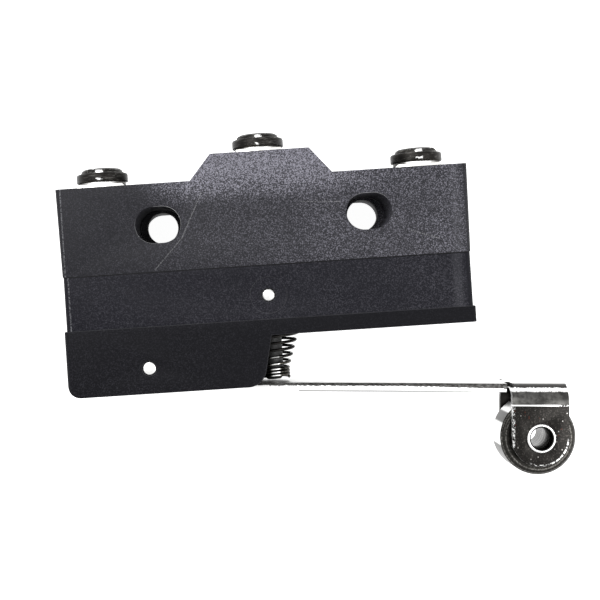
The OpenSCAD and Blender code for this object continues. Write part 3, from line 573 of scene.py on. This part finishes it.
def turned(profile, centre, axis, steps=96, closed=False):
    """Surface of revolution: point i of the profile at angle a lies at the centre, plus
    its level along the axis, plus its radius times (cos a, sin a) in the cross plane."""
    profile = np.asarray(profile, float)
    if closed:
        profile = np.vstack([profile, profile[:1]])
    axis = np.asarray(axis, float)
    side = np.roll(axis, 1)
    other = np.cross(axis, side)
    angle = np.linspace(0.0, 2 * np.pi, steps, endpoint=False)[None, :, None]
    radius, level = profile[:, 0][:, None, None], profile[:, 1][:, None, None]
    points = (np.asarray(centre, float) + level * axis
              + radius * (np.cos(angle) * side + np.sin(angle) * other))
    return points.reshape(-1, 3), grid_faces(len(profile), steps)


def turned_piece(name, profile, centre, axis, material, body, closed=False,
                 steps=96):
    vertices, faces = turned(profile, centre, axis, steps, closed)
    piece = new_piece(name, vertices, faces, material, body)
    return merged(piece)


def merged(piece, distance=0.5e-6):
    """Closes seams and poles by merging points that coincide."""
    build = bmesh.new()
    build.from_mesh(piece.data)
    bmesh.ops.remove_doubles(build, verts=build.verts, dist=distance)
    bmesh.ops.dissolve_degenerate(build, edges=build.edges, dist=distance)
    bmesh.ops.recalc_face_normals(build, faces=build.faces)
    build.to_mesh(piece.data)
    build.free()
    return piece


def wire_coil(centre, radius, level, angle, wire, sides=14):
    """Tube round a coil along Y. Ring i stands at angle[i], radius[i] and level[i]; a
    point of the ring lies half a wire from there, out along the radius and along Y."""
    around = np.linspace(0.0, 2 * np.pi, sides, endpoint=False)[None, :]
    taper = np.ones(len(angle))
    taper[[0, -1]] = 1e-4
    half = 0.5 * wire * taper[:, None]
    distance = radius[:, None] + half * np.cos(around)
    x = centre[0] + distance * np.cos(angle)[:, None]
    z = centre[2] + distance * np.sin(angle)[:, None]
    y = level[:, None] + half * np.sin(around)
    points = np.stack([x, y, z], -1).reshape(-1, 3)
    return points, grid_faces(len(angle), sides)


def soft_edged(node, material, width, body, segments=2, angle=28.0):
    """Copy of a frame node with small rounds on its edges. The copy's triangles are
    merged and joined into flat faces, each edge sharper than the angle gets a round of
    the given width, and the rounds are marked in the attribute named edge."""
    source = NODES[node]
    mesh = source.data.copy()
    mesh.name = node + "_dressed"
    build = bmesh.new()
    build.from_mesh(mesh)
    bmesh.ops.remove_doubles(build, verts=build.verts, dist=0.4e-6)
    bmesh.ops.dissolve_degenerate(build, edges=build.edges, dist=0.4e-6)
    bmesh.ops.dissolve_limit(build, angle_limit=math.radians(0.6), verts=build.verts,
                             edges=build.edges, use_dissolve_boundaries=False)
    build.to_mesh(mesh)
    build.free()
    mesh.materials.clear()
    piece = bpy.data.objects.new(node + "_dressed", mesh)
    bpy.context.scene.collection.objects.link(piece)
    mesh.materials.append(material)
    mesh.materials.append(material)
    bevel = piece.modifiers.new("rounds", "BEVEL")
    bevel.width = width
    bevel.segments = segments
    bevel.limit_method = "ANGLE"
    bevel.angle_limit = math.radians(angle)
    bevel.use_clamp_overlap = True
    bevel.material = 1
    bevel.harden_normals = False
    depsgraph = bpy.context.evaluated_depsgraph_get()
    shaped = bpy.data.meshes.new_from_object(piece.evaluated_get(depsgraph))
    piece.modifiers.clear()
    piece.data = shaped
    marks = np.zeros(len(shaped.polygons), np.int32)
    shaped.polygons.foreach_get("material_index", marks)
    shaped.polygons.foreach_set("material_index", np.zeros_like(marks))
    edge = shaped.attributes.new("edge", "FLOAT", "FACE")
    edge.data.foreach_set("value", marks.astype(np.float32))
    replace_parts(piece, node)
    return finish_piece(piece, material, body)


def cupped_washer(name, node, material):
    """Ring turned about Y whose wall rises round the screw head. Radii and levels run
    from the bore, under the foot, up the outer wall and down inside it to the seat."""
    low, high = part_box(node)
    radius, seat = (high.x - low.x) / 2, high.y - low.y
    bore, well = radius - 1.25 * MM, radius - 0.46 * MM
    profile = [(bore, 0.2 * MM), (well - 0.3 * MM, 0.2 * MM), (well, 0.0), (radius, 0.0),
               (radius, seat + 0.35 * MM), (radius - 0.1 * MM, seat + 0.55 * MM),
               (well, seat + 0.5 * MM), (well, seat), (bore, seat), (bore, 0.2 * MM)]
    centre = ((low.x + high.x) / 2, low.y, (low.z + high.z) / 2)
    return turned_piece(name, rounded_profile(profile, 0.12 * MM), centre, (0, 1, 0),
                        material, "root")


def bent_blade(node, material):
    """Copy of the snap blade, cut across at even steps along its length; it is attached
    to no body."""
    low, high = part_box(node)
    mesh = NODES[node].data.copy()
    build = bmesh.new()
    build.from_mesh(mesh)
    bmesh.ops.remove_doubles(build, verts=build.verts, dist=0.4e-6)
    for place in np.linspace(low.x, high.x, 26)[1:-1]:
        parts = build.verts[:] + build.edges[:] + build.faces[:]
        bmesh.ops.bisect_plane(build, geom=parts, dist=0.2e-6, plane_co=(place, 0, 0),
                               plane_no=(1, 0, 0))
    build.to_mesh(mesh)
    build.free()
    piece = bpy.data.objects.new("snap_blade_bent", mesh)
    bpy.context.scene.collection.objects.link(piece)
    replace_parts(piece, node)
    finish_piece(piece, material, None)
    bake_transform(piece)


def dress(node, material):
    """Gives a frame node that stays as it is its finish."""
    slots = NODES[node].data.materials
    slots.clear()
    slots.append(material)


# -------------------------------------------------------------------- settings

def length(label, text, value):
    """A length that can be set, in metres."""
    return bpy.props.FloatProperty(name=label, description=text, unit="LENGTH",
                                   default=value, precision=5)


def plain(label, text, value):
    """A plain number that can be set."""
    return bpy.props.FloatProperty(name=label, description=text, default=value)


def turn(label, text, degrees):
    """An angle that can be set."""
    return bpy.props.FloatProperty(name=label, description=text, subtype="ANGLE",
                                   default=math.radians(degrees))


def colour(label, text, value):
    """A colour that can be set."""
    return bpy.props.FloatVectorProperty(name=label, description=text, size=3,
                                         subtype="COLOR", default=value)


class SwitchStage(bpy.types.PropertyGroup):
    eye: bpy.props.FloatVectorProperty(
        name="Eye", description="Place of the camera", size=3, subtype="TRANSLATION",
        unit="LENGTH", default=(-2.53 * MM, -8.27 * MM, 157.45 * MM))
    roll: turn("Roll", "Turn of the camera about its line of sight", -3.75)
    lens: plain("Lens", "Focal length in millimetres on a 36 mm sensor", 70.06)
    shift: bpy.props.FloatVectorProperty(
        name="Shift", description="Sideways and upward shift of the frame", size=2,
        default=(53 / 600, -12 / 600))
    key: plain("Key", "Power of the large lamp in watts", 1.1)
    fill: plain("Fill", "Power of the small lamp in watts", 0.5)
    ambient: plain("Ambient", "Strength of the surrounding light", 0.45)
    floor: colour("Floor", "Colour of the floor", (0.8, 0.8, 0.8))
    lift: plain("Lift", "Glow of the floor where it is seen", 0.97)


class SwitchEdges(bpy.types.PropertyGroup):
    moulding: length("Mouldings", "Round on the edges of the case", 0.13 * MM)
    sheet: length("Sheet", "Round on the edges of pressed metal", 0.07 * MM)
    screw: length("Screws", "Round on the edges of screws", 0.06 * MM)
    pin: length("Pins", "Round on the ends of pins", 0.05 * MM)
    turned: length("Turned", "Round on the edges of turned pieces", 0.12 * MM)


class SwitchColours(bpy.types.PropertyGroup):
    case: colour("Case", "Colour of the terminal block", (0.007, 0.007, 0.0095))
    cover: colour("Cover", "Colour of the cover", (0.004, 0.004, 0.007))
    cap: colour("Cap", "Colour of the hinge cap", (0.004, 0.004, 0.0055))
    # also the colour of the painted light on the hump
    dust: colour("Dust", "Colour of the dust on the case", (0.26, 0.255, 0.3))
    steel: colour("Steel", "Colour of bright steel", (0.97, 0.97, 0.96))
    # also used for painted shade on the lever and in the rivet's bore
    tarnish: colour("Tarnish", "Colour of tarnished steel", (0.018, 0.017, 0.016))
    brass: colour("Brass", "Colour of the plated brass", (0.96, 0.95, 0.92))


class SwitchCase(bpy.types.PropertyGroup):
    hole_pitch: length("Hole pitch", "Distance between the mounting holes", 25.4 * MM)


class SwitchLever(bpy.types.PropertyGroup):
    slope: turn("Slope", "Angle of the free arm to the case", 4)
    drop: length("Drop", "From the hinge pin down to the arm's upper face", 1.98 * MM)
    ear: length("Ears", "Where the roller ears start along the arm", 44.7 * MM)
    # the border is painted shade
    border: length("Border", "Height of the dark border on the arm's edge", 0.42 * MM)
    foot: length("Foot", "Depth of the grey line at the arm's foot", 1 * MM)
    shade: length("Shade", "Depth of the dark line along the bend", 0.61 * MM)
    # the bright band is a painted highlight
    band: length("Band", "Depth at which the bend's bright band ends", 1.08 * MM)
    # the crease carries a painted highlight
    bend: length("Bend", "Depth at which the bend ends in its crease", 2.7 * MM)
    # the line round an ear's foot is a painted highlight
    rim: length("Rim", "Radius of the rubbed line round an ear's foot", 3.4 * MM)


class SwitchRoller(bpy.types.PropertyGroup):
    bore: length("Bore", "Radius of the roller's bore", 1.65 * MM)
    hub: length("Hub", "Radius of the hub in the dish", 2.3 * MM)
    dish: length("Dish", "Radius of the dish in each end", 3.5 * MM)
    dish_depth: length("Dish depth", "Depth of the dish", 0.35 * MM)
    chamfer: length("Chamfer", "Chamfer on the roller's rims", 0.4 * MM)
    hole: length("Hole", "Radius of the hole through the rivet", 1.35 * MM)
    shank: length("Shank", "Radius of the rivet's shank", 1.6 * MM)
    head: length("Head", "Height of the rivet's heads", 0.4 * MM)


class SwitchSprings(bpy.types.PropertyGroup):
    wire: length("Wire", "Wire of the return spring", 0.38 * MM)
    wide: length("Wide end", "Outer radius at the case", 3.65 * MM)
    narrow: length("Narrow end", "Outer radius at the lever", 2.1 * MM)
    start: turn("Start", "Where round the plunger the wire starts", 160)
    open_coils: plain("Open coils", "Coils that stand apart", 5.3)
    closed_coils: plain("Closed coils", "Coils that touch", 3.3)
    inner_wire: length("Inner wire", "Wire of the small spring", 0.26 * MM)
    inner_coils: plain("Inner coils", "Coils of the small spring", 3.0)
    plunger_travel: length("Plunger travel", "How far the lever drives the plunger",
                           2.63 * MM)
    pin_travel: length("Pin travel", "How far the push pin moves with it", 0.62 * MM)
    lean: length("Lean", "Extra squeeze that the tilted lever gives the spring",
                 0.25 * MM)


# ------------------------------------------------------------------- operators

class SWITCH_OT_stage(bpy.types.Operator):
    """Camera, lamps, floor and surrounding light"""
    bl_idname = "switch.stage"
    bl_label = "Stage"

    def execute(self, context):
        stage = context.scene.switch_stage
        camera_data = bpy.data.cameras.new("camera")
        camera_data.lens = stage.lens
        camera_data.sensor_width = 36.0
        camera_data.shift_x, camera_data.shift_y = stage.shift
        camera_data.clip_start = 0.01
        camera_data.clip_end = 20.0
        camera = bpy.data.objects.new("camera", camera_data)
        camera.location = stage.eye
        camera.rotation_euler = (0.0, 0.0, stage.roll)
        context.scene.collection.objects.link(camera)
        context.scene.camera = camera

        span = 4.0
        vertices = np.array([[-span, -span, 0], [span, -span, 0], [span, span, 0],
                             [-span, span, 0]], float)
        mesh = bpy.data.meshes.new("floor")
        mesh.from_pydata(vertices.tolist(), [], [(0, 1, 2, 3)])
        mesh.materials.append(floor_finish("floor", tuple(stage.floor), stage.lift))
        floor = bpy.data.objects.new("floor", mesh)
        context.scene.collection.objects.link(floor)

        middle = (Vector(CASE_LOW) + Vector(CASE_HIGH)) / 2
        lamps = (("key", (-0.16, 0.16, 0.34), 0.30, stage.key),
                 ("fill", (0.22, -0.06, 0.26), 0.22, stage.fill))
        for name, place, size, power in lamps:
            lamp_data = bpy.data.lights.new(name, "AREA")
            lamp_data.shape = "DISK"
            lamp_data.size = size
            lamp_data.energy = power
            lamp = bpy.data.objects.new(name, lamp_data)
            lamp.location = place
            sight = middle - Vector(place)
            lamp.rotation_euler = sight.to_track_quat("-Z", "Y").to_euler()
            context.scene.collection.objects.link(lamp)

        world = bpy.data.worlds.new("surroundings")
        context.scene.world = world
        world.use_nodes = True
        tree = world.node_tree
        tree.nodes.clear()
        path = tree.nodes.new("ShaderNodeLightPath")
        seen = path.outputs["Is Camera Ray"]
        for name in ("Is Glossy Ray", "Is Transmission Ray"):
            most = tree.nodes.new("ShaderNodeMath")
            most.operation = "MAXIMUM"
            tree.links.new(seen, most.inputs[0])
            tree.links.new(path.outputs[name], most.inputs[1])
            seen = most.outputs[0]
        strength = tree.nodes.new("ShaderNodeMapRange")
        tree.links.new(seen, strength.inputs["Value"])
        strength.inputs["To Min"].default_value = stage.ambient
        strength.inputs["To Max"].default_value = 1.0
        background = tree.nodes.new("ShaderNodeBackground")
        background.inputs["Color"].default_value = (1.0, 1.0, 1.0, 1.0)
        tree.links.new(strength.outputs["Result"], background.inputs["Strength"])
        output = tree.nodes.new("ShaderNodeOutputWorld")
        tree.links.new(background.outputs[0], output.inputs["Surface"])
        context.scene.view_settings.view_transform = "Standard"
        return {"FINISHED"}


class SWITCH_OT_mouldings(bpy.types.Operator):
    """Terminal block, cover and hinge cap with softened edges"""
    bl_idname = "switch.mouldings"
    bl_label = "Mouldings"

    def execute(self, context):
        colours = context.scene.switch_colours
        width = context.scene.switch_edges.moulding
        dust = tuple(colours.dust)
        scratches = (
            ((-7.29 * MM, 3.46 * MM), (-9.92 * MM, -1.78 * MM), 0.1 * MM),
            ((-9.92 * MM, -1.78 * MM), (-13.4 * MM, -5.39 * MM), 0.08 * MM),
            ((17.43 * MM, -2.61 * MM), (20.83 * MM, -3.79 * MM), 0.1 * MM),
            ((4.61 * MM, 1.66 * MM), (9.28 * MM, 1.35 * MM), 0.07 * MM))
        low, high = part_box("base")
        left_hole = (-context.scene.switch_case.hole_pitch / 2, 0.0)
        right_hole = (context.scene.switch_case.hole_pitch / 2, 0.0)
        # painted highlight arcs on the mounting holes' rims: centre, direction and strength
        rims = ((left_hole, (0.75, 0.66), 0.9), (left_hole, (-0.7, -0.7), 0.4),
                (right_hole, (0.1, 1.0), 0.7))
        # the third level, above the terminal face, also paints a paler patch of light on the
        # hump
        base = phenolic("phenolic_block", tuple(colours.case), dust, (0.06, 0.36, 2.2),
                        0.2, scratches, rims, (low.x, high.x), (low.y,))
        soft_edged("base", base, width, "root")
        low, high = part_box("cover")
        cover = phenolic("phenolic_cover", tuple(colours.cover), dust, (0.06, 0.08, 0.08),
                         0.12, (), (), (low.x, high.x), (low.y, high.y))
        soft_edged("cover", cover, width, "root")
        cap = phenolic("phenolic_cap", tuple(colours.cap), dust, (0.03, 0.015, 0.015),
                       0.08)
        soft_edged("hinge_cap", cap, width, "root")
        return {"FINISHED"}


class SWITCH_OT_lever(bpy.types.Operator):
    """Pressed lever with rubbed edges"""
    bl_idname = "switch.lever"
    bl_label = "Lever"

    def execute(self, context):
        colours = context.scene.switch_colours
        shape = context.scene.switch_lever
        low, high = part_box("hinge_pin")
        roller_low, roller_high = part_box("roller")
        # the tarnish colour also serves as the lever's painted shade
        finish = lever_finish("lever_steel", tuple(colours.steel), tuple(colours.tarnish),
                              (low + high) / 2, (roller_low + roller_high) / 2, shape)
        soft_edged("lever", finish, context.scene.switch_edges.sheet, "lever_arm")
        return {"FINISHED"}


class SWITCH_OT_roller(bpy.types.Operator):
    """Turned roller and the tubular rivet it spins on"""
    bl_idname = "switch.roller"
    bl_label = "Roller"

    def execute(self, context):
        colours = context.scene.switch_colours
        sizes = context.scene.switch_roller
        soft = context.scene.switch_edges.turned
        low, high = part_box("roller")
        centre = (low + high) / 2
        half = (high.z - low.z) / 2
        radius = (high.x - low.x) / 2
        face = half - sizes.dish_depth
        rim = radius - sizes.chamfer
        side = half - sizes.chamfer
        outside = [(sizes.bore, half), (sizes.hub, half), (sizes.hub, face),
                   (sizes.dish, face), (sizes.dish, half), (rim, half), (radius, side)]
        profile = [(reach, -level) for reach, level in outside] + outside[::-1]
        profile.append(profile[0])
        steel = roller_finish("roller_steel", tuple(colours.steel), (0.022, 0.021, 0.019),
                              centre, radius, half)
        piece = turned_piece("roller_turned", rounded_profile(profile, soft), centre,
                             (0, 0, 1), steel, "roller", steps=128)
        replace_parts(piece, "roller")

        low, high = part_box("roller_rivet")
        half = (high.z - low.z) / 2
        head = (high.x - low.x) / 2
        lip, flare = 0.15 * MM, 0.12 * MM
        outside = [(sizes.hole, half - lip), (sizes.hole + flare, half),
                   (head - 0.1 * MM, half), (head, half - sizes.head),
                   (sizes.shank, half - sizes.head)]
        profile = [(reach, -level) for reach, level in outside] + outside[::-1]
        bright = rivet_finish("rivet_steel", tuple(colours.steel), tuple(colours.tarnish),
                              centre, sizes.hole)
        closed = np.vstack([rounded_profile(profile, 0.14 * MM), profile[:1]])
        rivet = turned_piece("rivet_turned", closed, centre, (0, 0, 1), bright,
                             "lever_arm")
        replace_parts(rivet, "roller_rivet")
        return {"FINISHED"}


class SWITCH_OT_springs(bpy.types.Operator):
    """Conical return spring and the small spring inside the plunger"""
    bl_idname = "switch.springs"
    bl_label = "Springs"

    def execute(self, context):
        sizes = context.scene.switch_springs
        colours = context.scene.switch_colours
        low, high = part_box("return_spring")
        plunger_low, plunger_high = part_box("plunger")
        centre = (plunger_low + plunger_high) / 2
        half = sizes.wire / 2
        steel = coil_finish("spring_steel", tuple(colours.steel), tuple(colours.tarnish),
                            centre.x + 0.2 * MM, high.y, low.y, 0.7 * MM)
        turns = sizes.open_coils + sizes.closed_coils
        t = np.linspace(0.0, turns, int(turns * 48))
        share = np.minimum(1.0, t / sizes.open_coils)
        radius = sizes.wide + (sizes.narrow - sizes.wide) * share - half
        top, foot = high.y - half, low.y + half
        stack = foot + sizes.closed_coils * sizes.wire * 1.04
        packed = (t - sizes.open_coils) / sizes.closed_coils
        level = np.where(t < sizes.open_coils, top + (stack - top) * share,
                         stack + (foot - stack) * packed)
        angle = sizes.start + 2 * np.pi * t
        points, faces = wire_coil(centre, radius, level, angle, sizes.wire)
        spring = new_piece("return_coil", points, faces, steel, "root")
        merged(spring, 1e-7)
        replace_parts(spring, "return_spring")
        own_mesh(spring)

        low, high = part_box("overtravel_spring")
        wire = sizes.inner_wire
        t = np.linspace(0.0, 1.0, 120)
        level = high.y - wire / 2 + (low.y - high.y + wire) * t
        radius = np.full_like(t, (high.x - low.x) / 2 - wire / 2)
        points, faces = wire_coil(centre, radius, level,
                                  2 * np.pi * sizes.inner_coils * t, wire, 10)
        inner = new_piece("overtravel_coil", points, faces, steel, "root")
        merged(inner, 1e-7)
        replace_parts(inner, "overtravel_spring")
        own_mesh(inner)
        return {"FINISHED"}


class SWITCH_OT_terminals(bpy.types.Operator):
    """Terminal strips, washers and screws with softened edges"""
    bl_idname = "switch.terminals"
    bl_label = "Terminals"

    def execute(self, context):
        colours = context.scene.switch_colours
        edges = context.scene.switch_edges
        strip = metal("plated_brass", tuple(colours.brass), (0.5, 0.47, 0.4), tarnish=0.2,
                      rough=0.35, grime=0.1, outer=(0.5, 0.45, 0.36))
        for node in ("terminal_common", "terminal_closed", "terminal_open"):
            soft_edged(node, strip, edges.sheet, "root")
        bright, dark = tuple(colours.steel), tuple(colours.tarnish)
        for place in ("left", "middle", "right"):
            low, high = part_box("screw_" + place)
            middle = (low.x + high.x) / 2
            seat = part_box("cup_washer_" + place)[0].y
            # on the flat washers the glint is lit wide, a painted highlight band across the
            # washer
            washer = screw_finish("washer_" + place, bright, (0.12, 0.115, 0.11), middle,
                                  2.4 * MM, seat - 2 * MM, seat + 1 * MM)
            head = screw_finish("head_" + place, bright, dark, middle, 0.55 * MM,
                                seat, high.y - 0.2 * MM)
            cup = screw_finish("cup_" + place, bright, dark, middle, 0.35 * MM,
                               seat + 0.1 * MM, seat + 0.45 * MM)
            soft_edged("flat_washer_" + place, washer, edges.screw, "root")
            soft_edged("screw_" + place, head, edges.screw, "root")
            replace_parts(cupped_washer("cup_" + place, "cup_washer_" + place, cup),
                        "cup_washer_" + place)
        return {"FINISHED"}


class SWITCH_OT_pins(bpy.types.Operator):
    """Hinge pin and cover pins"""
    bl_idname = "switch.pins"
    bl_label = "Pins"

    def execute(self, context):
        bright = metal("pin_steel", (0.9, 0.9, 0.89), (0.35, 0.34, 0.33), tarnish=0.1,
                       rough=0.3, grime=0.15)
        for node in ("hinge_pin", "cover_pin_front", "cover_pin_rear"):
            soft_edged(node, bright, context.scene.switch_edges.pin, "root")
        return {"FINISHED"}


class SWITCH_OT_inner(bpy.types.Operator):
    """Finishes of the pieces inside the case"""
    bl_idname = "switch.inner"
    bl_label = "Inner pieces"

    def execute(self, context):
        colours = context.scene.switch_colours
        moving = nylon("plunger_nylon", (0.03, 0.03, 0.03))
        for node in ("plunger", "push_pin"):
            dress(node, moving)
        blade = metal("blade_copper", (0.75, 0.5, 0.32), (0.3, 0.16, 0.08), tarnish=0.2,
                      rough=0.25, streak=(300.0, 5000.0, 5000.0), grime=0.15)
        bent_blade("snap_blade", blade)
        silver = metal("contact_silver", (0.88, 0.87, 0.84), (0.35, 0.33, 0.3), tarnish=0.15,
                       rough=0.25, grime=0.1)
        for node in ("moving_contact", "contact_closed", "contact_open"):
            dress(node, silver)
        dress("anchor_rivet", metal("anchor_steel", tuple(colours.steel),
                                    tuple(colours.tarnish), tarnish=0.3, rough=0.3))
        return {"FINISHED"}


class SWITCH_PT_panel(bpy.types.Panel):
    """Lists the steps that dress the switch"""
    bl_idname = "SWITCH_PT_panel"
    bl_label = "Lever switch"
    bl_space_type = "VIEW_3D"
    bl_region_type = "UI"
    bl_category = "Switch"

    def draw(self, context):
        layout = self.layout
        for step in STEPS:
            layout.operator(step.bl_idname)
        for group in GROUPS:
            settings = getattr(context.scene, group)
            box = layout.box()
            for name in settings.bl_rna.properties.keys():
                if name not in ("rna_type", "name"):
                    box.prop(settings, name)


STEPS = (SWITCH_OT_stage, SWITCH_OT_mouldings, SWITCH_OT_lever, SWITCH_OT_roller,
         SWITCH_OT_springs, SWITCH_OT_terminals, SWITCH_OT_pins, SWITCH_OT_inner)
GROUPS = {"switch_stage": SwitchStage, "switch_edges": SwitchEdges,
          "switch_colours": SwitchColours, "switch_case": SwitchCase,
          "switch_lever": SwitchLever, "switch_roller": SwitchRoller,
          "switch_springs": SwitchSprings}


def register():
    for cls in (*GROUPS.values(), *STEPS, SWITCH_PT_panel):
        bpy.utils.register_class(cls)
    for name, group in GROUPS.items():
        setattr(bpy.types.Scene, name, bpy.props.PointerProperty(type=group))


def unregister():
    for name in GROUPS:
        delattr(bpy.types.Scene, name)
    for cls in reversed((*GROUPS.values(), *STEPS, SWITCH_PT_panel)):
        bpy.utils.unregister_class(cls)


def main():
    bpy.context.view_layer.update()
    register()
    bpy.ops.switch.stage()
    bpy.ops.switch.mouldings()
    bpy.ops.switch.lever()
    bpy.ops.switch.roller()
    bpy.ops.switch.springs()
    bpy.ops.switch.terminals()
    bpy.ops.switch.pins()
    bpy.ops.switch.inner()
    bpy.context.view_layer.update()


if __name__ == "__main__":
    main()
